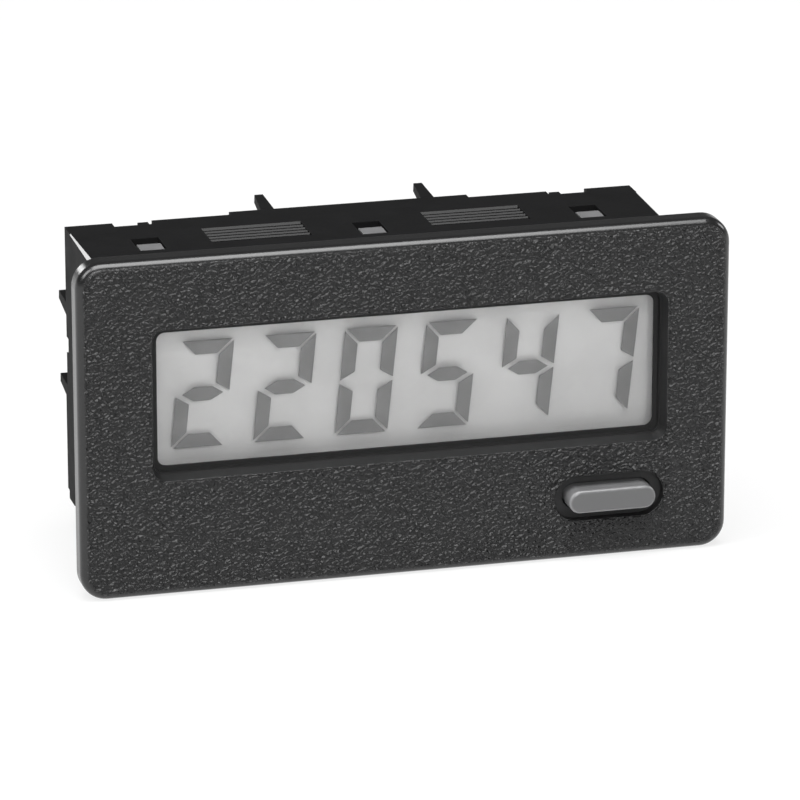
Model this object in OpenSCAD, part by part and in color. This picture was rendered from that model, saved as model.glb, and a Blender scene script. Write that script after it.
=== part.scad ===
// Panel counter: a six-digit display counter for a 68 x 33 mm panel cut-out.
// Origin: centre of the bezel's rear face, in the plane of the panel.
// X runs to the right seen from the front, Y to the rear, Z up. Millimetres.

/* [Bezel] */
// Width of the bezel
bezel_w = 75; // [74:0.5:80]
// Height of the bezel
bezel_h = 39.1; // [38.5:0.1:42]
// Thickness of the bezel in front of the panel
bezel_t = 3.2; // [3:0.1:3.6]
// Corner radius of the bezel seen from the front
bezel_corner_r = 3; // [2.6:0.1:3.2]
// Rounding of the bezel's front edge
bezel_edge_r = 1.2; // [0.6:0.1:1.2]
// Chamfer of the bezel's rear edge
bezel_rear_chamfer = 0.3; // [0.1:0.1:0.5]
// Thickness of the front wall round the display and the button
front_wall = 1.7; // [1.6:0.1:1.9]

/* [Display] */
// Width of the display recess at the front face
window_w = 59.5; // [56:0.5:60]
// Height of the display recess at the front face
window_h = 17.6; // [16:0.1:18]
// Sideways offset of the recess from the bezel's centre
window_x = 0.5; // [0:0.1:0.6]
// Height of the recess above the bezel's centre
window_z = 2.7; // [2.4:0.1:2.9]
// Corner radius of the recess
window_corner_r = 1.5; // [1:0.1:2]
// How far the recess walls lean in over the front wall
window_draft = 0.45; // [0.2:0.05:0.6]
// Chamfer round the mouth of the display recess
window_lip = 0.15; // [0.1:0.05:0.3]
// The reading, up to six digits
reading = "220547"; // ["220547", "000000", "123456", "987654"]
// Height of a digit
digit_h = 12.4; // [10:0.1:13]
// Width of a digit
digit_w = 6.1; // [5:0.1:6.5]
// Distance from digit to digit
digit_pitch = 9.4; // [8:0.1:9.4]
// Lean of the digits from upright, in degrees
digit_lean = 5.9; // [0:0.1:8]
// Width of a segment
segment_w = 1.6; // [1.2:0.1:1.8]

/* [Reset button] */
// Length of the button bar
button_w = 10.2; // [9.6:0.1:10.4]
// Height of the button bar
button_h = 2.7; // [2.5:0.1:2.8]
// How far the button stands proud of the bezel
button_proud = 1.4; // [1.2:0.05:1.6]
// Travel of the button
button_travel = 0.5; // [0.3:0.05:0.5]
// Sideways place of the button
button_x = 23.5; // [23:0.1:23.5]
// Height of the button's middle, below the bezel's centre
button_z = -12.3; // [-12.4:0.1:-12.2]

/* [Case] */
// Width of the sleeve, to pass a cut-out of 68 mm
case_w = 67; // [67:0.1:67.4]
// Height of the sleeve, to pass a cut-out of 33 mm
case_h = 32.6; // [32.4:0.1:32.8]
// Depth of the sleeve behind the panel
case_depth = 23.1; // [22.8:0.1:24]
// Wall of the sleeve
case_wall = 1.2; // [1.1:0.05:1.3]
// Chamfer on the sleeve's long edges, at the bezel
case_chamfer = 0.6; // [0.4:0.1:0.8]
// Teeth in each ratchet rack
rack_teeth = 5; // [4:1:6]
// Length of the rear fingers
finger_len = 4.6; // [3:0.1:5]

/* [Terminals] */
// Number of screw terminals
poles = 6; // [4:1:6]
// Distance from terminal to terminal
pole_pitch = 5.08; // [5:0.01:5.08]

/* [Hidden] */
$fn = 64;
fit = 0.1;
// How far a cutting tool reaches past the surface it opens
over = 1;

// Depth stations, counted from the panel plane
front_y = -bezel_t;
wall_back_y = front_y + front_wall;
seal_t = 1;
pane_y = wall_back_y + seal_t;
pane_t = 1.5;
lcd_y = pane_y + pane_t;
air_gap = 0.2;
glass_y = lcd_y + air_gap;
glass_t = 0.7;
ink_t = 0.05;
ink_y = glass_y + glass_t;
rear_glass_y = ink_y + ink_t;
reflector_y = rear_glass_y + glass_t;
reflector_t = 0.15;
lcd_back_y = reflector_y + reflector_t;
board_y = 5.8;
board_t = 1.6;
board_back_y = board_y + board_t;
chassis_end_y = 21;
cover_t = 1.6;

// Sleeve, skirt and the pieces nested inside them
seat_depth = 0.5;
inner_w = case_w - 2 * case_wall;
inner_h = case_h - 2 * case_wall;
skirt_w = inner_w - 2 * fit;
skirt_h = inner_h - 2 * fit;
skirt_wall = 0.8;
nest_gap = 0.2;
nest_w = skirt_w - 2 * skirt_wall - 2 * nest_gap;
nest_h = skirt_h - 2 * skirt_wall - 2 * nest_gap;
nest_r = 0.8;
chassis_wall = 1.6;

// Display panel
pane_w = 61.4;
pane_h = 20.2;
pane_x = 0.4;
pane_r = 0.6;
pane_rib = 1.5;
seal_lip = 0.1;
mask_lip = 0.5;
mask_t = 0.2;
mask_r = 1;
lcd_x = 0.3;
lcd_z = 2.5;
lcd_w = 60.8;
lcd_front_h = 21;
lcd_rear_h = 17.8;
reflector_h = 17.4;
reflector_w = 60.4;
digits_x = 0.95;
digits_z = 2.35;
mitre_gap = 0.22;
mid_gap = 0.2;
mid_mitre = 0.95;
mid_tip = 0.7;
zebra_w = 58;
zebra_h = 1.3;
zebra_z = (lcd_front_h + lcd_rear_h) / 4;
frame_open_w = lcd_w - 6;
frame_open_h = lcd_rear_h - 5;
pin_room_h = 2.4;

// Button and its switch
pocket_w = button_w + 2.6;
pocket_h = button_h + 2.6;
pocket_depth = 1.3;
pocket_lip = 0.15;
button_gap = 0.15;
hole_w = button_w + 2 * button_gap;
hole_h = button_h + 2 * button_gap;
sill_back_y = -0.3;
button_seal_t = 0.3;
flange_w = button_w + 2.1;
flange_y = sill_back_y + button_seal_t + button_gap;
flange_t = 0.8;
sill_w = flange_w + 3;
sill_h = pocket_h + 1.7;
guide_room = 0.3;
guide_wall = 0.9;
seal_rim = 0.8;
seal_r = 1;
skirt_gap_h = 2.8;
button_edge_r = 0.4;
stem_r = 1;
switch_y = 2.6;
switch_w = 6;
switch_h = 3;
switch_room = 0.3;
plunger_r = 0.95;
plunger_fit = 0.05;
plunger_room = 0.2;
plunger_y = 2;
plunger_end_y = 4.7;

// Snap windows, racks and rear rim of the sleeve
window_places = [-25.7, 0, 25.7];
snap_w = 3.2;
snap_y = 11.6;
snap_len = 4.8;
lug_w = 2.7;
lug_len = 2.9;
lug_flat = 2.4;
lug_root = 0.2;
lug_sink = 0.05;
lug_h = case_wall + fit - lug_sink;
lug_gap = 0.15;
arm_slot_w = 0.6;
arm_slot_x = 2.25;
arm_y = 9.5;
arm_end_y = 17.5;
rack_places = [-12.85, 12.85];
rack_w = 11.6;
rack_y = 12.8;
rack_len = 5.4;
tooth_depth = 0.5;
tooth_crest = 0.25;
rim_len = 2.8;
chamfer_end = 0.1;
rim_tab_w = 28.2;
rim_tab_out = 1.1;
rim_notch_places = [-25.7, 25.7];
rim_notch_w = 4.6;
rim_notch_depth = 1.4;
nub_w = 1.2;
nub_h = 2.2;
nub_off = 1.3;
nub_out = 0.2;
side_notch_z = 2.3;
side_notch_w = 1.9;
side_notch_depth = 1;
side_tab_low = -15.3;
side_tab_high = -2.6;
side_tab_out = 0.8;
finger_root = 1.7;
finger_tip = 1;
finger_t = 1;
finger_foot = 0.8;
finger_rise = 7;
top_finger_places = [-9.5, 9.5];
side_finger_places = [6.4, -3.6];

// Screws that hold chassis and board to the bezel
boss_places = [[-27.5, -11.4], [12.6, -11.4]];
boss_r = 2.3;
pilot_r = 1.05;
pilot_y = 0.5;
screw_r = 1;
screw_y = 1;
board_hole_r = 1.3;
screw_head_r = 2;
screw_head_t = 1.5;
tab_w = 5.6;
tab_t = 1.2;
tab_top = -8.9;
tab_low = 0.5 - skirt_h / 2;

// Terminals
block_x = -7.5;
block_w = poles * pole_pitch + 1;
block_low = -13;
block_high = -2;
block_end_y = 22.6;
pole_places = [for (i = [0:poles - 1]) block_x + (i - (poles - 1) / 2) * pole_pitch];
screw_row_z = -5.2;
wire_row_z = -10;
terminal_bore_r = 1.7;
terminal_head_r = 1.6;
wire_w = 3.2;
wire_h = 3.4;
clamp_w = 3.6;
clamp_low = -12.2;
clamp_high = -3;
clamp_y = 13.6;
clamp_t = 3;
clamp_pocket_end = 17;
clamp_wall = 0.3;
clamp_floor = 0.6;
screw_tip = 1;
thread_fit = 0.05;
head_seat_y = 18.5;
head_t = 1.7;
driver_slot = 0.6;
pin_side = 0.9;
pin_out = 0.8;

// Circuit
cell_r = 5.8;
cell_len = 10.8;
cell_x = -23.5;
cell_z = 5.2;
cell_lift = 0.4;
cell_crimp = 0.6;
clip_t = 0.4;
clip_w = 8;
clip_h = 11;
clip_foot_w = 6;
clip_foot = 1.2;
chip_x = -6;
chip_z = 6;
chip_side = 10;
chip_t = 2;
chip_lift = 0.2;
chip_leads = 11;
lead_pitch = 0.8;
lead_w = 0.3;
lead_t = 0.2;
lead_rise = 1;
lead_root = 0.1;
lead_bend = 0.7;
lead_foot = 1.4;
crystal_x = 6.5;
crystal_len = 11;
crystal_w = 4.6;
crystal_t = 3.6;
can_places = [[15, 7], [23.5, 7]];
can_r = 3.15;
can_len = 8;
can_groove_y = 1.4;
can_groove_r = 0.4;
resistor_places = [14, 18.5, 23, 27.5];
resistor_z = -2.5;
resistor_len = 3.2;
resistor_w = 1.6;
resistor_t = 0.6;

// Outline seen from the front, extruded from depth y0 to depth y1
module slab(y0, y1) {
    translate([0, y1, 0])
        rotate([90, 0, 0])
            linear_extrude(y1 - y0)
                children();
}

// Round bar along the depth, from y0 to y1
module rod(x, z, r, y0, y1) {
    translate([x, y0, z])
        rotate([-90, 0, 0])
            cylinder(h = y1 - y0, r = r);
}

// Box given by its middle in front view, its width and height, and its depth stations
module block(x, z, w, h, y0, y1) {
    translate([x - w / 2, y0, z - h / 2])
        cube([w, y1 - y0, h]);
}

// Rectangle with round corners
module round_rect(w, h, r) {
    square([w - 2 * r, h], center = true);
    square([w, h - 2 * r], center = true);
    for (sx = [-1, 1], sz = [-1, 1])
        translate([sx * (w / 2 - r), sz * (h / 2 - r)])
            circle(r);
}

// Rectangle with chamfered corners
module chamfer_rect(w, h, c) {
    polygon([
        [w / 2 - c, -h / 2], [w / 2, -h / 2 + c], [w / 2, h / 2 - c], [w / 2 - c, h / 2],
        [c - w / 2, h / 2], [-w / 2, h / 2 - c], [-w / 2, c - h / 2], [c - w / 2, -h / 2]
    ]);
}

// Bar with round ends
module stadium(w, h) {
    square([w - h, h], center = true);
    for (s = [-1, 1])
        translate([s * (w - h) / 2, 0])
            circle(h / 2);
}

// Half section of a plate, depth along y, with its front edge rounded and its rear edge chamfered
module rounded_section(half, t, r, c = 0) {
    polygon([[0, 0], [half - r, 0], [half - r, r], [half, r], [half, t - c], [half - c, t], [0, t]]);
    translate([half - r, r])
        circle(r);
}

// Half section of a recess with a chamfered mouth, whose wall leans in towards the rear
module recess_section(half, t, lean_in, lip) {
    polygon([[0, 0], [half + lip, 0], [half - lean_in * lip / t, lip], [half - lean_in, t], [0, t]]);
}

// Block with round corners whose half section, at $half, runs all the way round
module rounded_block(w, h, r) {
    linear_extrude(h - 2 * r, center = true)
        for (s = [0, 1])
            mirror([s, 0])
                let ($half = w / 2)
                    children();
    rotate([0, 90, 0])
        linear_extrude(w - 2 * r, center = true)
            for (s = [0, 1])
                mirror([s, 0])
                    let ($half = h / 2)
                        children();
    for (sx = [-1, 1], sz = [-1, 1])
        translate([sx * (w / 2 - r), 0, sz * (h / 2 - r)])
            rotate([-90, 0, 0])
                rotate_extrude()
                    let ($half = r)
                        children();
}

// Bar with round ends whose half section, at $half, runs all the way round
module round_bar(w, h) {
    rotate([0, 90, 0])
        linear_extrude(w - h, center = true)
            for (s = [0, 1])
                mirror([s, 0])
                    let ($half = h / 2)
                        children();
    for (s = [-1, 1])
        translate([s * (w - h) / 2, 0, 0])
            rotate([-90, 0, 0])
                rotate_extrude()
                    let ($half = h / 2)
                        children();
}

// Everything that repeats on the top and the bottom of the sleeve
module top_and_bottom() {
    children();
    mirror([0, 0, 1])
        children();
}

// Front bezel: rounded plate, skirt that enters the sleeve, and screw bosses
module bezel_solid() {
    translate([0, front_y, 0])
        rounded_block(bezel_w, bezel_h, bezel_corner_r)
            rounded_section($half, bezel_t, bezel_edge_r, bezel_rear_chamfer);
    slab(-seat_depth, board_back_y)
        round_rect(skirt_w, skirt_h, nest_r);
}

module bezel_hollow() {
    difference() {
        slab(wall_back_y, board_back_y + over)
            square([skirt_w - 2 * skirt_wall, skirt_h - 2 * skirt_wall], center = true);
        slab(wall_back_y - over, lcd_y)
            difference() {
                translate([window_x, window_z])
                    square([skirt_w, pane_h + 2 * pane_rib], center = true);
                translate([pane_x, window_z])
                    square([pane_w + 2 * fit, pane_h + 2 * fit], center = true);
            }
        for (p = boss_places)
            rod(p[0], p[1], boss_r, wall_back_y - over, board_y);
        block(button_x, button_z, sill_w, sill_h, wall_back_y - over, sill_back_y);
    }
}

module front_bezel() color("#2a2a2c") {
    difference() {
        bezel_solid();
        bezel_hollow();
        // Seat for the sleeve's front edge
        slab(-seat_depth, 0)
            difference() {
                chamfer_rect(case_w + 2 * fit, case_h + 2 * fit, case_chamfer);
                round_rect(skirt_w, skirt_h, nest_r);
            }
        // Display recess
        translate([window_x, front_y, window_z])
            rounded_block(window_w, window_h, window_corner_r)
                recess_section($half, front_wall, window_draft, window_lip);
        // Button pocket, and the hole that the button slides in
        translate([button_x, 0, button_z]) {
            translate([0, front_y, 0])
                round_bar(pocket_w, pocket_h)
                    recess_section($half, pocket_depth, 0, pocket_lip);
            slab(front_y, sill_back_y + over)
                stadium(hole_w, hole_h);
        }
        // Gap in the skirt below the button
        block(button_x, skirt_gap_h / 2 - case_h / 2, sill_w, skirt_gap_h, sill_back_y, board_back_y + over);
        for (p = boss_places)
            rod(p[0], p[1], pilot_r, pilot_y, board_y + over);
    }
}

// Sleeve behind the bezel
module rack_cut() {
    pitch = rack_len / rack_teeth;
    for (x = rack_places)
        translate([x - rack_w / 2, rack_y, case_h / 2])
            rotate([90, 0, 90])
                linear_extrude(rack_w)
                    for (i = [0:rack_teeth - 1])
                        translate([i * pitch, 0])
                            polygon([
                                [0, over], [0, 0], [pitch, -tooth_depth], [pitch, -tooth_crest],
                                [pitch + tooth_crest, 0], [pitch + tooth_crest, over]
                            ]);
}

// Cut along a long edge of the sleeve, which narrows from the bezel to the rear rim
module edge_cut() {
    run = case_depth - rim_len;
    taper = atan((case_chamfer - chamfer_end) / sqrt(2) / run);
    translate([case_w / 2, 0, case_h / 2])
        rotate([0, -45, 0])
            translate([-case_chamfer / sqrt(2), 0, 0])
                rotate([0, 0, -taper])
                    translate([0, -seat_depth - over, -over])
                        cube([over, seat_depth + over + run, 2 * over]);
}

// Thin finger that points to the rear from the origin, its upper face level
module finger() {
    translate([0, 0, -finger_t])
        linear_extrude(finger_t)
            polygon([
                [-finger_root / 2, -finger_foot], [finger_root / 2, -finger_foot],
                [finger_tip / 2, finger_len], [-finger_tip / 2, finger_len]
            ]);
}

module rear_case() color("#232325") {
    difference() {
        union() {
            slab(-seat_depth, case_depth)
                square([case_w, case_h], center = true);
            // Wide tabs on the rear rim
            slab(case_depth, case_depth + rim_tab_out)
                square([rim_tab_w, case_h], center = true);
            slab(case_depth, case_depth + side_tab_out)
                translate([0, (side_tab_low + side_tab_high) / 2])
                    square([case_w, side_tab_high - side_tab_low], center = true);
        }
        slab(-seat_depth - over, case_depth + rim_tab_out + over)
            square([inner_w, inner_h], center = true);
        top_and_bottom() {
            for (s = [0, 1])
                mirror([s, 0, 0])
                    edge_cut();
            for (x = window_places)
                block(x, case_h / 2, snap_w, 2 * case_wall + over, snap_y, snap_y + snap_len);
            rack_cut();
            for (x = rim_notch_places)
                block(x, case_h / 2, rim_notch_w, 2 * case_wall + over,
                      case_depth - rim_notch_depth, case_depth + over);
        }
        block(0, side_notch_z, case_w + 2 * over, side_notch_w,
              case_depth - side_notch_depth, case_depth + over);
    }
    // Fingers on the rear rim, which lift a little as they run back
    top_and_bottom()
        for (x = top_finger_places)
            translate([x, case_depth + rim_tab_out, case_h / 2 - fit])
                rotate([finger_rise, 0, 0])
                    finger();
    for (s = [0, 1], z = side_finger_places)
        mirror([s, 0, 0])
            translate([case_w / 2 - fit, case_depth, z])
                rotate([finger_rise, 0, 0])
                    rotate([0, 90, 0])
                        finger();
}

// Light-grey carrier inside the sleeve, with snap lugs
module chassis() color("#b9bbbc") {
    difference() {
        slab(board_back_y, chassis_end_y)
            round_rect(skirt_w, skirt_h, nest_r);
        slab(board_back_y - over, chassis_end_y + over)
            square([skirt_w - 2 * chassis_wall, skirt_h - 2 * chassis_wall], center = true);
        // Slots that free the arms of the snap lugs
        top_and_bottom()
            for (x = window_places, s = [-1, 1])
                block(x + s * arm_slot_x, skirt_h / 2, arm_slot_w, 2 * chassis_wall + over, arm_y, arm_end_y);
    }
    top_and_bottom()
        for (x = window_places)
            translate([x - lug_w / 2, snap_y + lug_gap, skirt_h / 2])
                rotate([90, 0, 90])
                    linear_extrude(lug_w)
                        polygon([
                            [0, -lug_root], [0, lug_h], [lug_flat, lug_h],
                            [lug_len, lug_h / 2], [lug_len, -lug_root]
                        ]);
    for (p = boss_places)
        difference() {
            block(p[0], (tab_top + tab_low) / 2, tab_w, tab_top - tab_low,
                  board_back_y, board_back_y + tab_t);
            rod(p[0], p[1], pilot_r, board_back_y - over, board_back_y + tab_t + over);
        }
}

// Plate that closes the sleeve's rear
module rear_cover() color("#262628") {
    difference() {
        union() {
            slab(chassis_end_y, chassis_end_y + cover_t)
                square([skirt_w, skirt_h], center = true);
            top_and_bottom()
                for (x = rim_notch_places)
                    block(x - sign(x) * nub_off, skirt_h / 2, nub_w, nub_h,
                          case_depth - rim_notch_depth, case_depth + nub_out);
        }
        block(block_x, (block_low + block_high) / 2, block_w + 2 * fit, block_high - block_low + 2 * fit,
              chassis_end_y - over, chassis_end_y + cover_t + over);
    }
}

// Display
module display_window() color("#dfe6e8", 0.4)
    slab(pane_y, pane_y + pane_t)
        translate([pane_x, window_z])
            round_rect(pane_w, pane_h, pane_r);

// Sealing ring, with a thin lip on the pane that masks the display's margin
module window_seal() color("#1c1c1d") {
    ring_in = window_draft + seal_lip;
    mask_in = ring_in + mask_lip;
    difference() {
        slab(wall_back_y, pane_y)
            translate([pane_x, window_z])
                round_rect(pane_w, pane_h, pane_r);
        slab(wall_back_y - over, pane_y - mask_t)
            translate([window_x, window_z])
                round_rect(window_w - 2 * ring_in, window_h - 2 * ring_in, window_corner_r - window_draft);
        slab(wall_back_y - over, pane_y + over)
            translate([window_x, window_z])
                round_rect(window_w - 2 * mask_in, window_h - 2 * mask_in, mask_r);
    }
}

module lcd_plate(y, t, w, h)
    translate([lcd_x, 0, lcd_z])
        slab(y, y + t)
            square([w, h], center = true);

module lcd_front_glass() color("#d6dad8", 0.4)
    lcd_plate(glass_y, glass_t, lcd_w, lcd_front_h);

module lcd_rear_glass() color("#d6dad8", 0.4)
    lcd_plate(rear_glass_y, glass_t, lcd_w, lcd_rear_h);

module lcd_reflector() color("#c3c6c4")
    lcd_plate(reflector_y, reflector_t, reflector_w, reflector_h);

// Segments of a digit, lettered a to g from the top clockwise, g across the middle
lit_segments = ["abcdef", "bc", "abdeg", "abcdg", "bcfg", "acdfg", "acdefg", "abc", "abcdefg", "abcdfg"];
half_w = digit_w / 2;
half_h = digit_h / 2;
top_bar = [
    [mitre_gap - half_w, half_h], [half_w - mitre_gap, half_h],
    [half_w - mitre_gap - segment_w, half_h - segment_w],
    [mitre_gap + segment_w - half_w, half_h - segment_w]
];
right_bar = [
    [half_w, half_h - mitre_gap], [half_w, mid_gap],
    [half_w - segment_w, mid_gap + mid_mitre], [half_w - segment_w, half_h - segment_w - mitre_gap]
];
mid_run = segment_w / 2 * segment_w / mid_mitre;
mid_end = half_w - mid_tip;
mid_bar = [
    [-mid_end, 0], [mid_run - mid_end, segment_w / 2], [mid_end - mid_run, segment_w / 2],
    [mid_end, 0], [mid_end - mid_run, -segment_w / 2], [mid_run - mid_end, -segment_w / 2]
];

function flipped(points, sx, sz) = [for (p = points) [sx * p[0], sz * p[1]]];
function segment(letter) =
    letter == "a" ? top_bar :
    letter == "b" ? right_bar :
    letter == "c" ? flipped(right_bar, 1, -1) :
    letter == "d" ? flipped(top_bar, 1, -1) :
    letter == "e" ? flipped(right_bar, -1, -1) :
    letter == "f" ? flipped(right_bar, -1, 1) :
    mid_bar;
function leaning(points) = [for (p = points) [p[0] + tan(digit_lean) * p[1], p[1]]];

module lcd_segments() color("#6d7071")
    slab(ink_y, ink_y + ink_t)
        for (i = [0:len(reading) - 1])
            translate([digits_x + (i - (len(reading) - 1) / 2) * digit_pitch, digits_z])
                for (letter = lit_segments[ord(reading[i]) - ord("0")])
                    polygon(leaning(segment(letter)));

// Frame that locates the display, its contact strips and the button
module lcd_frame() color("#3a3b3d") {
    difference() {
        union() {
            slab(lcd_y, board_y)
                round_rect(nest_w, nest_h, nest_r);
            block(button_x, button_z, flange_w + 2 * (guide_room + guide_wall),
                  switch_h + 2 * (switch_room + guide_room), sill_back_y + button_seal_t, board_y);
        }
        translate([lcd_x, 0, lcd_z]) {
            slab(lcd_y - over, ink_y)
                square([lcd_w + 2 * fit, lcd_front_h + 2 * fit], center = true);
            slab(ink_y - fit, lcd_back_y)
                square([lcd_w + 2 * fit, lcd_rear_h + 2 * fit], center = true);
            // Open back behind the reflector
            slab(lcd_back_y - over, board_y + over)
                square([frame_open_w, frame_open_h], center = true);
            for (s = [-1, 1])
                slab(ink_y - over, board_y + over)
                    translate([0, s * zebra_z])
                        square([zebra_w + 2 * fit, zebra_h + 2 * fit], center = true);
        }
        for (p = boss_places)
            rod(p[0], p[1], boss_r + fit, lcd_y - over, board_y + over);
        // Room for the button's flange, for the switch and for the ends of the terminal pins
        block(button_x, button_z, flange_w + 2 * guide_room, button_h + 2 * guide_room,
              sill_back_y - over, switch_y);
        block(button_x, button_z, switch_w + 2 * switch_room, switch_h + 2 * switch_room,
              switch_y - over, board_y + over);
        block(block_x, wire_row_z, block_w, pin_room_h, board_y - 2 * pin_out, board_y + over);
    }
}

module zebra_strip(side)
    translate([lcd_x, 0, lcd_z + side * zebra_z])
        slab(ink_y, board_y)
            square([zebra_w, zebra_h], center = true);

module zebra_strip_top() color("#8f9294")
    zebra_strip(1);

module zebra_strip_bottom() color("#8f9294")
    zebra_strip(-1);

// Reset button, with a flange behind the bezel and a stem to the switch
module reset_button() color("#8b8d8e")
    translate([button_x, 0, button_z]) {
        translate([0, front_y - button_proud, 0])
            round_bar(button_w, button_h)
                rounded_section($half, flange_y + flange_t - front_y + button_proud, button_edge_r);
        slab(flange_y, flange_y + flange_t)
            stadium(flange_w, button_h);
        rod(0, 0, stem_r, flange_y + flange_t / 2, plunger_y);
    }

module button_seal() color("#1a1a1b")
    translate([button_x, 0, button_z])
        slab(sill_back_y, sill_back_y + button_seal_t)
            difference() {
                round_rect(flange_w + 2 * seal_rim, button_h + 2 * seal_rim, seal_r);
                stadium(hole_w, hole_h);
            }

module reset_switch() color("#2e2f31")
    difference() {
        block(button_x, button_z, switch_w, switch_h, switch_y, board_y);
        rod(button_x, button_z, plunger_r + plunger_fit, switch_y - over,
            plunger_end_y + button_travel + plunger_room);
    }

module switch_plunger() color("#d8d8d4")
    rod(button_x, button_z, plunger_r, plunger_y, plunger_end_y);

// Circuit
module main_board() color("#3f6b4c")
    difference() {
        slab(board_y, board_back_y)
            round_rect(nest_w, nest_h, nest_r);
        for (p = boss_places)
            rod(p[0], p[1], board_hole_r, board_y - over, board_back_y + over);
        for (x = pole_places)
            block(x, wire_row_z, pin_side + 2 * fit, pin_side + 2 * fit, board_y - over, board_back_y + over);
    }

module board_screws() color("#c2c4c6")
    for (p = boss_places)
        difference() {
            union() {
                rod(p[0], p[1], screw_r, screw_y, board_back_y + tab_t + screw_head_t / 2);
                rod(p[0], p[1], screw_head_r, board_back_y + tab_t, board_back_y + tab_t + screw_head_t);
            }
            block(p[0], p[1], 3 * screw_head_r, driver_slot, board_back_y + tab_t + screw_head_t / 2,
                  board_back_y + tab_t + screw_head_t + over);
        }

module counter_chip() color("#232426")
    translate([chip_x, 0, chip_z]) {
        block(0, 0, chip_side, chip_side, board_back_y + chip_lift, board_back_y + chip_lift + chip_t);
        for (turn = [0:90:270], i = [0:chip_leads - 1])
            rotate([0, turn, 0])
                translate([(i - (chip_leads - 1) / 2) * lead_pitch, board_back_y, chip_side / 2])
                    rotate([90, 0, 90])
                        linear_extrude(lead_w, center = true)
                            polygon([
                                [lead_rise, -lead_root], [lead_rise + lead_t, -lead_root],
                                [lead_rise + lead_t, lead_bend], [lead_t, lead_bend + lead_t],
                                [lead_t, lead_foot], [0, lead_foot],
                                [0, lead_bend], [lead_rise, lead_bend - lead_t]
                            ]);
    }

module crystal() color("#c9cbcd")
    translate([crystal_x, 0, chip_z])
        slab(board_back_y, board_back_y + crystal_t)
            rotate(90)
                stadium(crystal_len, crystal_w);

module capacitors() color("#2d3a52")
    for (p = can_places)
        difference() {
            rod(p[0], p[1], can_r, board_back_y, board_back_y + can_len);
            translate([p[0], board_back_y + can_groove_y, p[1]])
                rotate([-90, 0, 0])
                    rotate_extrude()
                        translate([can_r + fit, 0])
                            circle(can_groove_r);
        }

module resistors() color("#1d1d1e")
    for (x = resistor_places)
        block(x, resistor_z, resistor_len, resistor_w, board_back_y, board_back_y + resistor_t);

module battery_cell() color("#b8bcc0")
    translate([cell_x - cell_len / 2, board_back_y + cell_lift + cell_r, cell_z])
        rotate([0, 90, 0]) {
            cylinder(h = cell_len - cell_crimp, r = cell_r);
            cylinder(h = cell_len, r = cell_r * 0.7);
        }

module battery_clips() color("#caccce")
    for (s = [-1, 1]) {
        block(cell_x + s * (cell_len + clip_t) / 2, cell_z, clip_t, clip_w,
              board_back_y, board_back_y + clip_h);
        block(cell_x + s * (cell_len + clip_t + clip_foot) / 2, cell_z, clip_foot, clip_foot_w,
              board_back_y, board_back_y + clip_t);
    }

// Terminals
module terminal_block() color("#2c2d2f")
    difference() {
        block(block_x, (block_low + block_high) / 2, block_w, block_high - block_low,
              board_back_y, block_end_y);
        for (x = pole_places) {
            block(x, (clamp_low + clamp_high) / 2, clamp_w + 2 * fit, clamp_high - clamp_low + 2 * fit,
                  board_back_y - over, clamp_pocket_end);
            rod(x, screw_row_z, pilot_r + fit, clamp_pocket_end - over, block_end_y + over);
            rod(x, screw_row_z, terminal_bore_r, head_seat_y, block_end_y + over);
            block(x, wire_row_z, wire_w, wire_h, clamp_pocket_end - over, block_end_y + over);
        }
    }

module terminal_clamps() color("#c6c9c4")
    for (x = pole_places)
        difference() {
            block(x, (clamp_low + clamp_high) / 2, clamp_w, clamp_high - clamp_low,
                  clamp_y, clamp_y + clamp_t);
            rod(x, screw_row_z, pilot_r + thread_fit, clamp_y - over, clamp_y + clamp_t + over);
            block(x, wire_row_z, wire_w - 2 * clamp_wall, wire_h - 2 * clamp_wall,
                  clamp_y + clamp_floor, clamp_y + clamp_t + over);
        }

module terminal_screws() color("#cfd1d2")
    for (x = pole_places)
        difference() {
            union() {
                rod(x, screw_row_z, pilot_r, clamp_y - screw_tip, head_seat_y + head_t / 2);
                rod(x, screw_row_z, terminal_head_r, head_seat_y, head_seat_y + head_t);
            }
            block(x, screw_row_z, 3 * terminal_head_r, driver_slot, head_seat_y + head_t / 2, block_end_y);
        }

module terminal_pins() color("#cdbf8e")
    for (x = pole_places)
        block(x, wire_row_z, pin_side, pin_side, board_y - pin_out, clamp_y);

front_bezel();
rear_case();
chassis();
rear_cover();
display_window();
window_seal();
lcd_front_glass();
lcd_segments();
lcd_rear_glass();
lcd_reflector();
lcd_frame();
zebra_strip_top();
zebra_strip_bottom();
reset_button();
button_seal();
reset_switch();
switch_plunger();
main_board();
board_screws();
counter_chip();
crystal();
capacitors();
resistors();
battery_cell();
battery_clips();
terminal_block();
terminal_clamps();
terminal_screws();
terminal_pins();
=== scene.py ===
"""Panel counter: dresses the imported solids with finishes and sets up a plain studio."""

import math

import bpy
from bpy.props import FloatProperty, FloatVectorProperty, PointerProperty
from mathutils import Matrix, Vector


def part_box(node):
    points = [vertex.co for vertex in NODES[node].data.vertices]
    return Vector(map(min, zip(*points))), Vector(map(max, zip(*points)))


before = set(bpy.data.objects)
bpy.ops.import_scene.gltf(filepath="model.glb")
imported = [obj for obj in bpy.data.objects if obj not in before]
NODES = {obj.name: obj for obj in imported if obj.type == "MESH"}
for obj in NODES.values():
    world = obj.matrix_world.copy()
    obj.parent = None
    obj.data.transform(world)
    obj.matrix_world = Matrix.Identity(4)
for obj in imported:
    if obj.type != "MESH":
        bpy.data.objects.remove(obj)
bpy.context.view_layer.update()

bl_info = {
    "name": "Panel counter",
    "version": (1, 0, 0),
    "blender": (4, 5, 0),
    "location": "View3D > Sidebar > Panel counter",
    "description": "Finishes and studio for a panel counter with a liquid crystal reading",
    "category": "Object",
}

FACE_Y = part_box("front_bezel")[0].y
FLOOR_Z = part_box("front_bezel")[0].z
MM = 0.001

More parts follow.
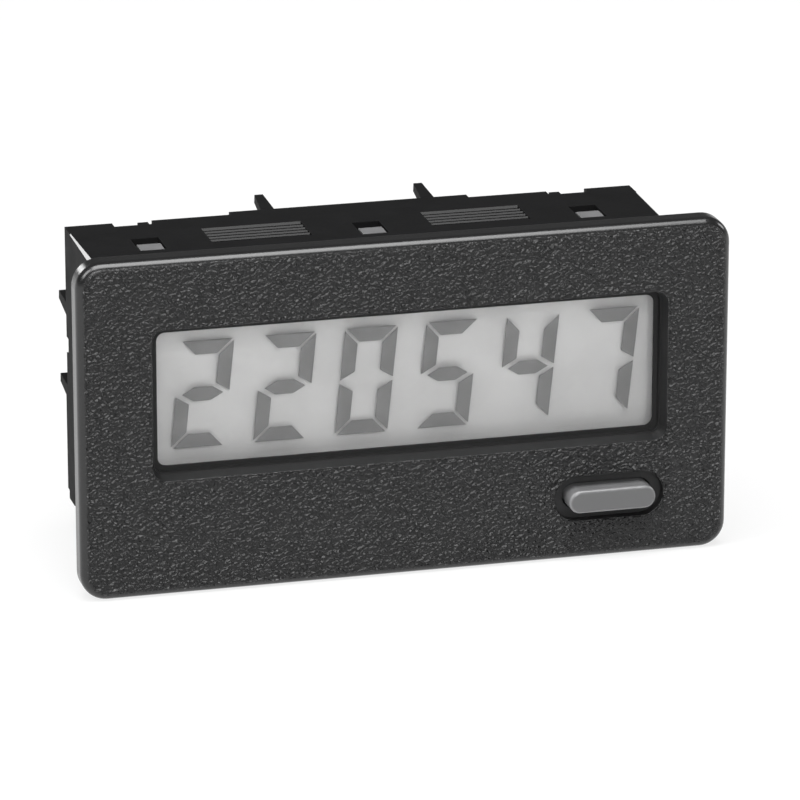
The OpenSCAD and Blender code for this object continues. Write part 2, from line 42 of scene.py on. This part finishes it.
# Bezel: the grain fades out at the edge of the face, and the rim round the face is smooth
RIM = 2.5 * MM
LIP = 0.2 * MM
FADE_START = 0.16 * MM
FADE_END = 0.02 * MM
FACE_ROUGHNESS = 0.24
RECESS_ROUGHNESS = 0.6
RIM_COAT = 0.45
RIM_COAT_IOR = 1.6
RIM_COAT_ROUGHNESS = 0.2

# Leather grain: its mean height is taken off, so that the face is level with the rim
MEAN_GRAIN = 0.12
CELL_SMOOTHNESS = 0.35

# Other mouldings
EDGE_RADIUS = 0.12 * MM
SHARPEST_EDGE = 0.75
CREST_SHARE = 0.3
CHAMFER_COAT_ROUGHNESS = 0.15
ROUGHNESS_SPREAD = 0.05

# Surface patterns: how much finer the fine mottle is than the slow one, and two densities per metre
FINE_RATIO = 12.0
FLAKES_PER_METRE = 9000.0
WEAVE_PER_METRE = 900.0

# Floor and world: what a gloss sees of the floor, and where the pale horizon fades into the sky
FLOOR_SIZE = 12.0
FLOOR_IN_GLOSS = 0.65
FLOOR_WHITE_SHARE = 0.75
HORIZON_FADE_START = 0.075
HORIZON_FADE_END = 0.11

# Colours that are not in the finish properties
WHITE = (1.0, 1.0, 1.0, 1.0)
CLEAR_TINT = (0.97, 0.97, 0.97)
RUBBER_BLACK = (0.012, 0.012, 0.012)
CONTACT_GREY = (0.25, 0.25, 0.26)
FRAME_GREY = (0.06, 0.06, 0.062)
SWITCH_BLACK = (0.02, 0.02, 0.02)
PLUNGER_WHITE = (0.62, 0.62, 0.6)
CHIP_BLACK = (0.018, 0.018, 0.018)
CAN_SILVER = (0.7, 0.7, 0.7)
CAPACITOR_BLUE = (0.02, 0.035, 0.09)
SPRING_SILVER = (0.68, 0.68, 0.68)
SCREW_SILVER = (0.66, 0.66, 0.67)
BLOCK_BLACK = (0.02, 0.02, 0.021)
CLAMP_BRASS = (0.72, 0.68, 0.55)

# Places of the colour sockets on a Mix node
COLOUR_A, COLOUR_B, COLOUR_OUT = 6, 7, 2


def colour_property(label, words, value):
    """A colour that a user can change."""
    return FloatVectorProperty(
        name=label, description=words, subtype="COLOR", size=3, min=0.0, max=1.0, default=value
    )


def length_property(label, words, value):
    """A length in metres that a user can change."""
    return FloatProperty(name=label, description=words, unit="LENGTH", min=0.0, default=value)


class PanelCounterFinish(bpy.types.PropertyGroup):
    """Colours and texture sizes of the counter's finishes."""

    bezel_colour: colour_property(
        "Bezel", "Colour of the bezel's moulding", (0.01, 0.01, 0.0103)
    )
    case_colour: colour_property(
        "Case", "Colour of the sleeve and the rear cover", (0.01, 0.01, 0.0103)
    )
    chassis_colour: colour_property(
        "Chassis", "Colour of the inner carrier", (0.155, 0.155, 0.158)
    )
    # The button's rounding and sides take this colour; its front face is painted darker, as painted
    # shade.
    button_colour: colour_property(
        "Button", "Colour of the reset button", (0.21, 0.21, 0.214)
    )
    reflector_colour: colour_property(
        "Reflector", "Colour behind the digits", (0.62, 0.62, 0.617)
    )
    segment_colour: colour_property(
        "Segments", "Colour of a switched segment", (0.175, 0.175, 0.175)
    )
    board_colour: colour_property(
        "Board", "Colour of the circuit board", (0.03, 0.11, 0.05)
    )
    grain_cell: length_property(
        "Grain cell", "Size of a cell of the face's leather grain", 0.42 * MM
    )
    grain_depth: length_property(
        "Grain depth", "Depth of the face's leather grain", 0.55 * MM
    )
    edge_radius: length_property(
        "Edge radius", "Radius of the moulded edges", EDGE_RADIUS
    )


class PanelCounterStudio(bpy.types.PropertyGroup):
    """Camera and light of the studio."""

    azimuth: FloatProperty(
        name="Azimuth", description="Camera's turn to the left of straight ahead", subtype="ANGLE",
        default=math.radians(14.8),
    )
    elevation: FloatProperty(
        name="Elevation", description="Camera's height above level", subtype="ANGLE",
        default=math.radians(18.2),
    )
    distance: length_property("Distance", "Camera's distance from the point it looks at", 0.621)
    lens: FloatProperty(
        name="Lens", description="Focal length of the camera", subtype="DISTANCE_CAMERA",
        default=250.65,
    )
    target: FloatVectorProperty(
        name="Target", description="Point that the camera looks at", subtype="TRANSLATION", size=3,
        default=(-0.98 * MM, -2.94 * MM, 1.15 * MM),
    )
    floor_colour: colour_property("Floor", "Colour of the floor", (0.86, 0.86, 0.86))
    horizon_level: FloatProperty(
        name="Horizon level", description="Strength of the even light along the horizon", min=0.0,
        default=0.4,
    )
    sky_level: FloatProperty(
        name="Sky level", description="Strength of the even light from above", min=0.0,
        default=0.08,
    )


def add_node(tree, kind, settings=None, sockets=None):
    """Adds a node, sets its properties, and fills its inputs with values or links."""
    made = tree.nodes.new(kind)
    for label, value in (settings or {}).items():
        setattr(made, label, value)
    for label, value in (sockets or {}).items():
        if isinstance(value, bpy.types.NodeSocket):
            tree.links.new(value, made.inputs[label])
        else:
            made.inputs[label].default_value = value
    return made


def calculate(tree, operation, *values, clamp=False):
    """The result of a Math node on values or links."""
    made = add_node(
        tree, "ShaderNodeMath", {"operation": operation, "use_clamp": clamp},
        dict(enumerate(values)),
    )
    return made.outputs[0]


def remap(tree, value, start, stop, low=0.0, high=1.0, shape="LINEAR"):
    """Maps a value from start..stop to low..high."""
    made = add_node(
        tree, "ShaderNodeMapRange", {"interpolation_type": shape},
        {"Value": value, "From Min": start, "From Max": stop, "To Min": low, "To Max": high},
    )
    return made.outputs[0]


def spread_value(tree, factor, low, high):
    """Maps a factor from 0..1 to low..high."""
    return remap(tree, factor, 0.0, 1.0, low, high)


def noise(tree, vector, scale, detail, roughness=0.5):
    """A noise texture."""
    return add_node(
        tree, "ShaderNodeTexNoise", None,
        {"Vector": vector, "Scale": scale, "Detail": detail, "Roughness": roughness},
    )


def bumped(tree, height, depth, normal=None, strength=1.0):
    """A normal that follows a height over the surface."""
    sockets = {"Strength": strength, "Distance": depth, "Height": height}
    if normal is not None:
        sockets["Normal"] = normal
    return add_node(tree, "ShaderNodeBump", None, sockets).outputs[0]


def mix_colours(tree, factor, low, high):
    """A colour between two others."""
    made = add_node(
        tree, "ShaderNodeMix", {"data_type": "RGBA"},
        {"Factor": factor, COLOUR_A: low, COLOUR_B: high},
    )
    return made.outputs[COLOUR_OUT]


def shaded(colour, factor):
    """A colour made lighter or darker, with its alpha."""
    return [min(1.0, c * factor) for c in colour] + [1.0]


def tone(tree, colour, factor, spread):
    """A colour that varies around the given one by the factor."""
    return mix_colours(tree, factor, shaded(colour, 1.0 - spread), shaded(colour, 1.0 + spread))


def new_group(label, inputs, outputs):
    """An empty shader node group with named sockets, and its two end nodes."""
    tree = bpy.data.node_groups.new(label, "ShaderNodeTree")
    for name, kind, value in inputs:
        socket = tree.interface.new_socket(name, in_out="INPUT", socket_type=kind)
        if value is not None:
            socket.default_value = value
    for name, kind in outputs:
        tree.interface.new_socket(name, in_out="OUTPUT", socket_type=kind)
    return tree, tree.nodes.new("NodeGroupInput"), tree.nodes.new("NodeGroupOutput")


def place_group(tree, group, sockets=None):
    """Puts a node group into a material."""
    return add_node(tree, "ShaderNodeGroup", {"node_tree": group}, sockets)


def mottle_group():
    """Slow and fine variation over a surface, from 0 to 1."""
    label = "surface_mottle"
    if label in bpy.data.node_groups:
        return bpy.data.node_groups[label]
    tree, start, end = new_group(
        label,
        [("Vector", "NodeSocketVector", None), ("Size", "NodeSocketFloat", 2.0 * MM)],
        [("Mottle", "NodeSocketFloat"), ("Fine", "NodeSocketFloat")],
    )
    vector = start.outputs["Vector"]
    scale = calculate(tree, "DIVIDE", 1.0, start.outputs["Size"])
    slow = noise(tree, vector, scale, detail=4.0, roughness=0.6)
    fine = noise(tree, vector, calculate(tree, "MULTIPLY", scale, FINE_RATIO), detail=2.0)
    spread = remap(tree, slow.outputs[0], start=0.3, stop=0.7)
    tree.links.new(spread, end.inputs["Mottle"])
    tree.links.new(fine.outputs[0], end.inputs["Fine"])
    return tree


def edge_group():
    """Rounded normals along sharp edges, and a mask of those edges."""
    label = "moulded_edges"
    if label in bpy.data.node_groups:
        return bpy.data.node_groups[label]
    tree, start, end = new_group(
        label,
        [("Radius", "NodeSocketFloat", EDGE_RADIUS)],
        [("Normal", "NodeSocketVector"), ("Edge", "NodeSocketFloat")],
    )
    bevel = add_node(tree, "ShaderNodeBevel", {"samples": 6}, {"Radius": start.outputs["Radius"]})
    flat = add_node(tree, "ShaderNodeNewGeometry")
    match = add_node(
        tree, "ShaderNodeVectorMath", {"operation": "DOT_PRODUCT"},
        {0: bevel.outputs[0], 1: flat.outputs["Normal"]},
    )
    edge = remap(tree, match.outputs["Value"], start=1.0, stop=SHARPEST_EDGE)
    tree.links.new(bevel.outputs[0], end.inputs["Normal"])
    tree.links.new(edge, end.inputs["Edge"])
    return tree


def slant_group():
    """1 on chamfers along the depth, less on those across it, 0 on faces square to the frame."""
    label = "slanted_faces"
    if label in bpy.data.node_groups:
        return bpy.data.node_groups[label]
    tree, _, end = new_group(label, [], [("Slant", "NodeSocketFloat")])
    flat = add_node(tree, "ShaderNodeNewGeometry")
    size = add_node(
        tree, "ShaderNodeVectorMath", {"operation": "ABSOLUTE"}, {0: flat.outputs["True Normal"]}
    )
    parts = add_node(tree, "ShaderNodeSeparateXYZ", None, {"Vector": size.outputs[0]}).outputs
    sides = calculate(tree, "MULTIPLY_ADD", parts["Y"], CREST_SHARE, parts["X"])
    both = calculate(tree, "MULTIPLY", sides, parts["Z"], clamp=True)
    slant = calculate(tree, "MULTIPLY", both, 2.0, clamp=True)
    tree.links.new(slant, end.inputs["Slant"])
    return tree


def front_group():
    """1 on a front face, and 0 on its rounding and its sides; it places the button's painted front
    shade.
    """
    label = "front_face"
    if label in bpy.data.node_groups:
        return bpy.data.node_groups[label]
    tree, _, end = new_group(label, [], [("Front", "NodeSocketFloat")])
    smooth = add_node(tree, "ShaderNodeNewGeometry")
    parts = add_node(
        tree, "ShaderNodeSeparateXYZ", None, {"Vector": smooth.outputs["Normal"]}
    ).outputs
    square = calculate(tree, "MULTIPLY", parts["Y"], parts["Y"])
    front = remap(tree, square, start=0.5, stop=1.0)
    tree.links.new(front, end.inputs["Front"])
    return tree


def grain_group():
    """Height of a leather grain: irregular pebbles between worn creases."""
    label = "leather_grain"
    if label in bpy.data.node_groups:
        return bpy.data.node_groups[label]
    tree, start, end = new_group(
        label,
        [("Vector", "NodeSocketVector", None), ("Cell", "NodeSocketFloat", 0.55 * MM)],
        [("Height", "NodeSocketFloat")],
    )
    vector = start.outputs["Vector"]
    cell = start.outputs["Cell"]
    scale = calculate(tree, "DIVIDE", 1.0, cell)
    wobble = noise(tree, vector, scale, detail=0.0)
    nudge = add_node(
        tree, "ShaderNodeVectorMath", {"operation": "SCALE"},
        {0: wobble.outputs["Color"], "Scale": cell},
    )
    moved = add_node(
        tree, "ShaderNodeVectorMath", {"operation": "ADD"}, {0: vector, 1: nudge.outputs[0]}
    )
    cells = add_node(
        tree, "ShaderNodeTexVoronoi", {"feature": "SMOOTH_F1"},
        {"Vector": moved.outputs[0], "Scale": scale, "Smoothness": CELL_SMOOTHNESS},
    )
    creases = noise(tree, moved.outputs[0], scale, detail=1.0)
    pebbles = calculate(tree, "SUBTRACT", creases.outputs[0], cells.outputs["Distance"])
    level = calculate(tree, "SUBTRACT", pebbles, MEAN_GRAIN)
    tree.links.new(level, end.inputs["Height"])
    return tree


def new_material(label):
    """A material with its Principled shader and Object coordinates."""
    material = bpy.data.materials.new(label)
    material.use_nodes = True
    tree = material.node_tree
    shader = tree.nodes["Principled BSDF"]
    coords = tree.nodes.new("ShaderNodeTexCoord").outputs["Object"]
    return material, tree, shader, coords


def moulded_plastic(
    label, colour, roughness, specular=0.5, depth=0.006 * MM, edge=EDGE_RADIUS, lift=0.5,
    polish=False, painted_front_shade=False,
):
    """Satin moulded plastic with a fine spark-eroded texture and soft edges.

    If asked, its chamfers are glossy, or its front face is painted darker than its rounding and
    sides: painted shade on the front, painted light on the rim and sides.
    """
    material, tree, shader, coords = new_material(label)
    mottle = place_group(tree, mottle_group(), {"Vector": coords, "Size": 3.0 * MM}).outputs
    edges = place_group(tree, edge_group(), {"Radius": edge}).outputs
    # Sharp edges are painted paler by lift. If the front flag is set, the mask is the front face
    # instead, and a negative lift paints that face darker than the rounding and sides: painted
    # shade on the front, painted light on the rim and sides.
    pale_edges_and_front_shade = edges["Edge"]
    if painted_front_shade:
        pale_edges_and_front_shade = place_group(tree, front_group()).outputs["Front"]
    body = tone(tree, colour, mottle["Mottle"], spread=0.12)
    mixed = mix_colours(tree, pale_edges_and_front_shade, body, shaded(colour, 1.0 + lift))
    rough = spread_value(
        tree, mottle["Mottle"], roughness - ROUGHNESS_SPREAD, roughness + ROUGHNESS_SPREAD
    )
    bump = bumped(tree, mottle["Fine"], depth, edges["Normal"])
    tree.links.new(mixed, shader.inputs["Base Color"])
    tree.links.new(rough, shader.inputs["Roughness"])
    tree.links.new(bump, shader.inputs["Normal"])
    shader.inputs["Specular IOR Level"].default_value = specular
    if polish:
        slant = place_group(tree, slant_group()).outputs["Slant"]
        tree.links.new(slant, shader.inputs["Coat Weight"])
        shader.inputs["Coat Roughness"].default_value = CHAMFER_COAT_ROUGHNESS
    return material


def set_coat(material, weight, roughness):
    """Gives a material an even gloss coat."""
    shader = material.node_tree.nodes["Principled BSDF"]
    shader.inputs["Coat Weight"].default_value = weight
    shader.inputs["Coat Roughness"].default_value = roughness


def grained_plastic(label, finish):
    """Black moulding whose flat face has a leather grain, while its rim and recesses are smooth."""
    material, tree, shader, coords = new_material(label)
    mottle = place_group(tree, mottle_group(), {"Vector": coords, "Size": 4.0 * MM}).outputs
    edges = place_group(tree, edge_group(), {"Radius": finish.edge_radius}).outputs
    pebbles = place_group(tree, grain_group(), {"Vector": coords, "Cell": finish.grain_cell})
    parts = add_node(tree, "ShaderNodeSeparateXYZ", None, {"Vector": coords}).outputs
    on_face = remap(
        tree, parts["Y"], FACE_Y + FADE_START, FACE_Y + FADE_END, shape="SMOOTHSTEP"
    )
    grain = calculate(tree, "MULTIPLY", pebbles.outputs["Height"], on_face)
    bump = bumped(tree, grain, finish.grain_depth, edges["Normal"])
    body = tone(tree, finish.bezel_colour, mottle["Mottle"], spread=0.1)

    # The recesses lie inside the rim and below the lip of the face
    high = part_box("front_bezel")[1]
    within_x = calculate(tree, "LESS_THAN", calculate(tree, "ABSOLUTE", parts["X"]), high.x - RIM)
    within_z = calculate(tree, "LESS_THAN", calculate(tree, "ABSOLUTE", parts["Z"]), high.z - RIM)
    middle = calculate(tree, "MULTIPLY", within_x, within_z)
    below = calculate(tree, "GREATER_THAN", parts["Y"], FACE_Y + LIP)
    recess = calculate(tree, "MULTIPLY", middle, below)
    smooth = spread_value(tree, recess, FACE_ROUGHNESS, RECESS_ROUGHNESS)
    rough = add_node(
        tree, "ShaderNodeMix", {"data_type": "FLOAT"}, {0: on_face, 2: smooth, 3: FACE_ROUGHNESS}
    )
    bare = calculate(tree, "MAXIMUM", recess, on_face)
    coat = spread_value(tree, bare, RIM_COAT, 0.0)

    tree.links.new(body, shader.inputs["Base Color"])
    tree.links.new(rough.outputs[0], shader.inputs["Roughness"])
    tree.links.new(coat, shader.inputs["Coat Weight"])
    tree.links.new(bump, shader.inputs["Normal"])
    shader.inputs["Coat IOR"].default_value = RIM_COAT_IOR
    shader.inputs["Coat Roughness"].default_value = RIM_COAT_ROUGHNESS
    return material


def soft_rubber(label, colour):
    """Matt rubber."""
    return moulded_plastic(label, colour, roughness=0.7, specular=0.3, depth=0.01 * MM, lift=0.2)


def clear_plate(label, ior, specular):
    """A clear plate that lamps shine through without being bent."""
    material, tree, shader, coords = new_material(label)
    mottle = place_group(tree, mottle_group(), {"Vector": coords, "Size": 8.0 * MM}).outputs
    body = tone(tree, CLEAR_TINT, mottle["Mottle"], spread=0.02)
    tree.links.new(body, shader.inputs["Base Color"])
    tree.links.new(spread_value(tree, mottle["Mottle"], 0.0, 0.02), shader.inputs["Roughness"])
    shader.inputs["Transmission Weight"].default_value = 1.0
    shader.inputs["IOR"].default_value = ior
    shader.inputs["Specular IOR Level"].default_value = specular
    path = tree.nodes.new("ShaderNodeLightPath").outputs
    unseen = calculate(tree, "MAXIMUM", path["Is Shadow Ray"], path["Is Diffuse Ray"])
    through = add_node(tree, "ShaderNodeBsdfTransparent", None, {"Color": [*CLEAR_TINT, 1.0]})
    mixed = add_node(
        tree, "ShaderNodeMixShader", None,
        {0: unseen, 1: shader.outputs[0], 2: through.outputs[0]},
    )
    tree.links.new(mixed.outputs[0], tree.nodes["Material Output"].inputs["Surface"])
    return material


def reflector_sheet(label, colour):
    """Pale silver-grey sheet with a very fine sparkle."""
    material, tree, shader, coords = new_material(label)
    mottle = place_group(tree, mottle_group(), {"Vector": coords, "Size": 9.0 * MM}).outputs
    flakes = noise(tree, coords, FLAKES_PER_METRE, detail=2.0).outputs[0]
    slow = tone(tree, colour, mottle["Mottle"], spread=0.025)
    fine = spread_value(tree, flakes, 0.94, 1.06)
    mixed = add_node(
        tree, "ShaderNodeVectorMath", {"operation": "SCALE"}, {0: slow, "Scale": fine}
    )
    tree.links.new(mixed.outputs[0], shader.inputs["Base Color"])
    tree.links.new(spread_value(tree, flakes, 0.5, 0.65), shader.inputs["Roughness"])
    shader.inputs["Specular IOR Level"].default_value = 0.2
    return material


def plated_metal(label, colour, roughness):
    """Plated metal with a slightly uneven polish."""
    material, tree, shader, coords = new_material(label)
    mottle = place_group(tree, mottle_group(), {"Vector": coords, "Size": 1.5 * MM}).outputs
    edges = place_group(tree, edge_group(), {"Radius": 0.06 * MM}).outputs
    body = tone(tree, colour, mottle["Mottle"], spread=0.1)
    rough = spread_value(tree, mottle["Mottle"], roughness - 0.06, roughness + 0.08)
    bump = bumped(tree, mottle["Fine"], 0.004 * MM, edges["Normal"], strength=0.6)
    tree.links.new(body, shader.inputs["Base Color"])
    tree.links.new(rough, shader.inputs["Roughness"])
    tree.links.new(bump, shader.inputs["Normal"])
    shader.inputs["Metallic"].default_value = 1.0
    return material


def board_laminate(label, colour):
    """Coated laminate with the weave of its glass cloth."""
    material, tree, shader, coords = new_material(label)
    mottle = place_group(tree, mottle_group(), {"Vector": coords, "Size": 5.0 * MM}).outputs
    weave = add_node(
        tree, "ShaderNodeTexWave", {"bands_direction": "DIAGONAL"},
        {"Vector": coords, "Scale": WEAVE_PER_METRE, "Distortion": 0.4},
    ).outputs["Fac"]
    body = tone(tree, colour, mottle["Mottle"], spread=0.25)
    tree.links.new(body, shader.inputs["Base Color"])
    tree.links.new(spread_value(tree, weave, 0.3, 0.4), shader.inputs["Roughness"])
    tree.links.new(bumped(tree, weave, 0.01 * MM, strength=0.5), shader.inputs["Normal"])
    return material


def dress(material, *names):
    """Gives the named solids one material."""
    for name in names:
        mesh = NODES[name].data
        mesh.materials.clear()
        mesh.materials.append(material)


class PANELCOUNTER_OT_bezel(bpy.types.Operator):
    """Finish the front bezel"""

    bl_idname = "panelcounter.bezel"
    bl_label = "Front bezel"

    def execute(self, context):
        finish = context.scene.panel_counter_finish
        dress(grained_plastic("bezel_plastic", finish), "front_bezel")
        return {"FINISHED"}


class PANELCOUNTER_OT_case(bpy.types.Operator):
    """Finish the sleeve, the rear cover and the inner chassis"""

    bl_idname = "panelcounter.case"
    bl_label = "Case and chassis"

    def execute(self, context):
        finish = context.scene.panel_counter_finish
        case = moulded_plastic(
            "case_plastic", finish.case_colour, roughness=0.55, specular=0.06,
            edge=finish.edge_radius, polish=True,
        )
        dress(case, "rear_case", "rear_cover")
        chassis = moulded_plastic(
            "chassis_plastic", finish.chassis_colour, roughness=0.5, edge=finish.edge_radius
        )
        dress(chassis, "chassis")
        return {"FINISHED"}


class PANELCOUNTER_OT_display(bpy.types.Operator):
    """Finish the pane, the display and what holds it"""

    bl_idname = "panelcounter.display"
    bl_label = "Display"

    def execute(self, context):
        finish = context.scene.panel_counter_finish
        dress(clear_plate("clear_pane", ior=1.45, specular=0.3), "display_window")
        glass = clear_plate("display_glass", ior=1.1, specular=0.1)
        dress(glass, "lcd_front_glass", "lcd_rear_glass")
        dress(soft_rubber("window_rubber", RUBBER_BLACK), "window_seal")
        ink = moulded_plastic("segment_ink", finish.segment_colour, roughness=0.6, specular=0.1)
        dress(ink, "lcd_segments")
        dress(reflector_sheet("reflector_sheet", finish.reflector_colour), "lcd_reflector")
        dress(moulded_plastic("frame_plastic", FRAME_GREY, roughness=0.5), "lcd_frame")
        strips = soft_rubber("contact_rubber", CONTACT_GREY)
        dress(strips, "zebra_strip_top", "zebra_strip_bottom")
        return {"FINISHED"}


class PANELCOUNTER_OT_button(bpy.types.Operator):
    """Finish the reset button, its seal and its switch"""

    bl_idname = "panelcounter.button"
    bl_label = "Reset button"

    def execute(self, context):
        finish = context.scene.panel_counter_finish
        # The button's front face is painted at 0.43 of the colour of its rounding and sides (lift
        # -0.57): painted shade on the front, painted light on the rim and sides.
        button = moulded_plastic(
            "button_plastic", finish.button_colour, roughness=0.36, edge=0.2 * MM, lift=-0.57,
            painted_front_shade=True,
        )
        set_coat(button, weight=0.9, roughness=0.2)
        dress(button, "reset_button")
        dress(soft_rubber("button_rubber", RUBBER_BLACK), "button_seal")
        dress(moulded_plastic("switch_plastic", SWITCH_BLACK, roughness=0.4), "reset_switch")
        dress(moulded_plastic("plunger_plastic", PLUNGER_WHITE, roughness=0.4), "switch_plunger")
        return {"FINISHED"}


class PANELCOUNTER_OT_circuit(bpy.types.Operator):
    """Finish the board, its parts, the cell and the screws"""

    bl_idname = "panelcounter.circuit"
    bl_label = "Circuit"

    def execute(self, context):
        finish = context.scene.panel_counter_finish
        dress(board_laminate("board_laminate", finish.board_colour), "main_board")
        chip = moulded_plastic("chip_plastic", CHIP_BLACK, roughness=0.5)
        dress(chip, "counter_chip", "resistors")
        dress(plated_metal("can_metal", CAN_SILVER, roughness=0.3), "crystal", "battery_cell")
        dress(moulded_plastic("capacitor_sleeve", CAPACITOR_BLUE, roughness=0.3), "capacitors")
        dress(plated_metal("spring_steel", SPRING_SILVER, roughness=0.28), "battery_clips")
        dress(plated_metal("board_screw_steel", SCREW_SILVER, roughness=0.32), "board_screws")
        return {"FINISHED"}


class PANELCOUNTER_OT_terminals(bpy.types.Operator):
    """Finish the terminal block, its clamps, screws and pins"""

    bl_idname = "panelcounter.terminals"
    bl_label = "Terminals"

    def execute(self, context):
        dress(moulded_plastic("block_plastic", BLOCK_BLACK, roughness=0.45), "terminal_block")
        brass = plated_metal("clamp_brass", CLAMP_BRASS, roughness=0.35)
        dress(brass, "terminal_clamps", "terminal_pins")
        steel = plated_metal("terminal_screw_steel", SCREW_SILVER, roughness=0.32)
        dress(steel, "terminal_screws")
        return {"FINISHED"}


def add_lamp(label, place, aim, width, height, power):
    """A soft rectangular lamp that faces the aim point."""
    data = bpy.data.lights.new(label, "AREA")
    data.shape = "RECTANGLE"
    data.size = width
    data.size_y = height
    data.energy = power
    lamp = bpy.data.objects.new(label, data)
    lamp.location = place
    lamp.rotation_euler = (Vector(aim) - Vector(place)).to_track_quat("-Z", "Y").to_euler()
    lamp.visible_camera = False
    bpy.context.scene.collection.objects.link(lamp)


def add_floor(colour):
    """A pale floor that keeps a soft shadow, and looks whiter than it is lit."""
    bpy.ops.mesh.primitive_plane_add(size=FLOOR_SIZE, location=(0.0, 0.0, 0.0))
    floor = bpy.context.object
    floor.name = "studio_floor"
    for corner in floor.data.vertices:
        corner.co.z = FLOOR_Z
    material = bpy.data.materials.new("studio_floor")
    material.use_nodes = True
    tree = material.node_tree
    tree.nodes.clear()
    matt = add_node(tree, "ShaderNodeBsdfDiffuse", None, {"Color": [*colour, 1.0]})
    path = tree.nodes.new("ShaderNodeLightPath").outputs
    strength = spread_value(tree, path["Is Glossy Ray"], 1.0, FLOOR_IN_GLOSS)
    white = add_node(tree, "ShaderNodeEmission", None, {"Color": WHITE, "Strength": strength})
    direct = calculate(tree, "MAXIMUM", path["Is Camera Ray"], path["Is Glossy Ray"])
    seen = calculate(tree, "MAXIMUM", direct, path["Is Transmission Ray"])
    share = calculate(tree, "MULTIPLY", seen, FLOOR_WHITE_SHARE)
    mixed = add_node(
        tree, "ShaderNodeMixShader", None, {0: share, 1: matt.outputs[0], 2: white.outputs[0]}
    )
    end = tree.nodes.new("ShaderNodeOutputMaterial")
    tree.links.new(mixed.outputs[0], end.inputs["Surface"])
    floor.data.materials.append(material)


def set_world(horizon, sky):
    """Even light that is pale along the horizon and dim above it."""
    world = bpy.data.worlds.new("studio_world")
    world.use_nodes = True
    tree = world.node_tree
    tree.nodes.clear()
    coords = tree.nodes.new("ShaderNodeTexCoord").outputs["Generated"]
    parts = add_node(tree, "ShaderNodeSeparateXYZ", None, {"Vector": coords}).outputs
    level = remap(
        tree, parts["Z"], HORIZON_FADE_START, HORIZON_FADE_END, horizon, sky, shape="SMOOTHSTEP"
    )
    even = add_node(tree, "ShaderNodeBackground", None, {"Color": WHITE, "Strength": level})
    end = tree.nodes.new("ShaderNodeOutputWorld")
    tree.links.new(even.outputs[0], end.inputs["Surface"])
    bpy.context.scene.world = world


def add_camera(studio):
    """The camera, to the left of straight ahead and a little above."""
    data = bpy.data.cameras.new("studio_camera")
    data.lens = studio.lens
    data.sensor_width = 36.0
    data.clip_start = 0.01
    data.clip_end = 20.0
    camera = bpy.data.objects.new("studio_camera", data)
    level = math.cos(studio.elevation)
    back = Vector((
        -math.sin(studio.azimuth) * level,
        -math.cos(studio.azimuth) * level,
        math.sin(studio.elevation),
    ))
    camera.location = Vector(studio.target) + studio.distance * back
    camera.rotation_euler = (-back).to_track_quat("-Z", "Y").to_euler()
    bpy.context.scene.collection.objects.link(camera)
    bpy.context.scene.camera = camera


class PANELCOUNTER_OT_stage(bpy.types.Operator):
    """Set up the floor, the light and the camera"""

    bl_idname = "panelcounter.stage"
    bl_label = "Studio"

    def execute(self, context):
        studio = context.scene.panel_counter_studio
        context.scene.view_settings.view_transform = "Standard"
        add_floor(studio.floor_colour)
        set_world(studio.horizon_level, studio.sky_level)
        part = (0.0, 0.0, 0.0)
        add_lamp(
            "top_lamp", place=(-0.03, -0.175, 0.95), aim=(-0.03, -0.175, 0.0),
            width=0.74, height=0.7, power=10.2,
        )
        add_lamp(
            "left_lamp", place=(-0.7, -0.15, 0.7), aim=part, width=0.4, height=0.6, power=4.2
        )
        add_lamp(
            "right_lamp", place=(0.9, 0.08, 0.4), aim=part, width=0.3, height=0.3, power=1.5
        )
        add_lamp(
            "key_lamp", place=(-0.1, -1.0, 0.42), aim=part, width=0.5, height=0.6, power=6.6
        )
        add_lamp(
            "rim_lamp", place=(-0.34, 0.93, 0.23), aim=part, width=0.2, height=0.2, power=0.6
        )
        add_camera(studio)
        return {"FINISHED"}


class PANELCOUNTER_PT_sidebar(bpy.types.Panel):
    """The counter's finishes and studio, in the sidebar"""

    bl_idname = "PANELCOUNTER_PT_sidebar"
    bl_label = "Panel counter"
    bl_space_type = "VIEW_3D"
    bl_region_type = "UI"
    bl_category = "Panel counter"

    def draw(self, context):
        layout = self.layout
        for group in (context.scene.panel_counter_finish, context.scene.panel_counter_studio):
            column = layout.column(align=True)
            for label in group.__annotations__:
                column.prop(group, label)
        column = layout.column(align=True)
        for operator in OPERATORS:
            column.operator(operator.bl_idname)


OPERATORS = (
    PANELCOUNTER_OT_bezel,
    PANELCOUNTER_OT_case,
    PANELCOUNTER_OT_display,
    PANELCOUNTER_OT_button,
    PANELCOUNTER_OT_circuit,
    PANELCOUNTER_OT_terminals,
    PANELCOUNTER_OT_stage,
)
CLASSES = (PanelCounterFinish, PanelCounterStudio) + OPERATORS + (PANELCOUNTER_PT_sidebar,)


def register():
    """Adds the classes, and the properties to the scene."""
    for made in CLASSES:
        bpy.utils.register_class(made)
    bpy.types.Scene.panel_counter_finish = PointerProperty(type=PanelCounterFinish)
    bpy.types.Scene.panel_counter_studio = PointerProperty(type=PanelCounterStudio)


def unregister():
    """Takes the properties and the classes away again."""
    del bpy.types.Scene.panel_counter_studio
    del bpy.types.Scene.panel_counter_finish
    for made in reversed(CLASSES):
        bpy.utils.unregister_class(made)


def main():
    """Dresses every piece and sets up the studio."""
    register()
    bpy.ops.panelcounter.bezel()
    bpy.ops.panelcounter.case()
    bpy.ops.panelcounter.display()
    bpy.ops.panelcounter.button()
    bpy.ops.panelcounter.circuit()
    bpy.ops.panelcounter.terminals()
    bpy.ops.panelcounter.stage()


if __name__ == "__main__":
    main()
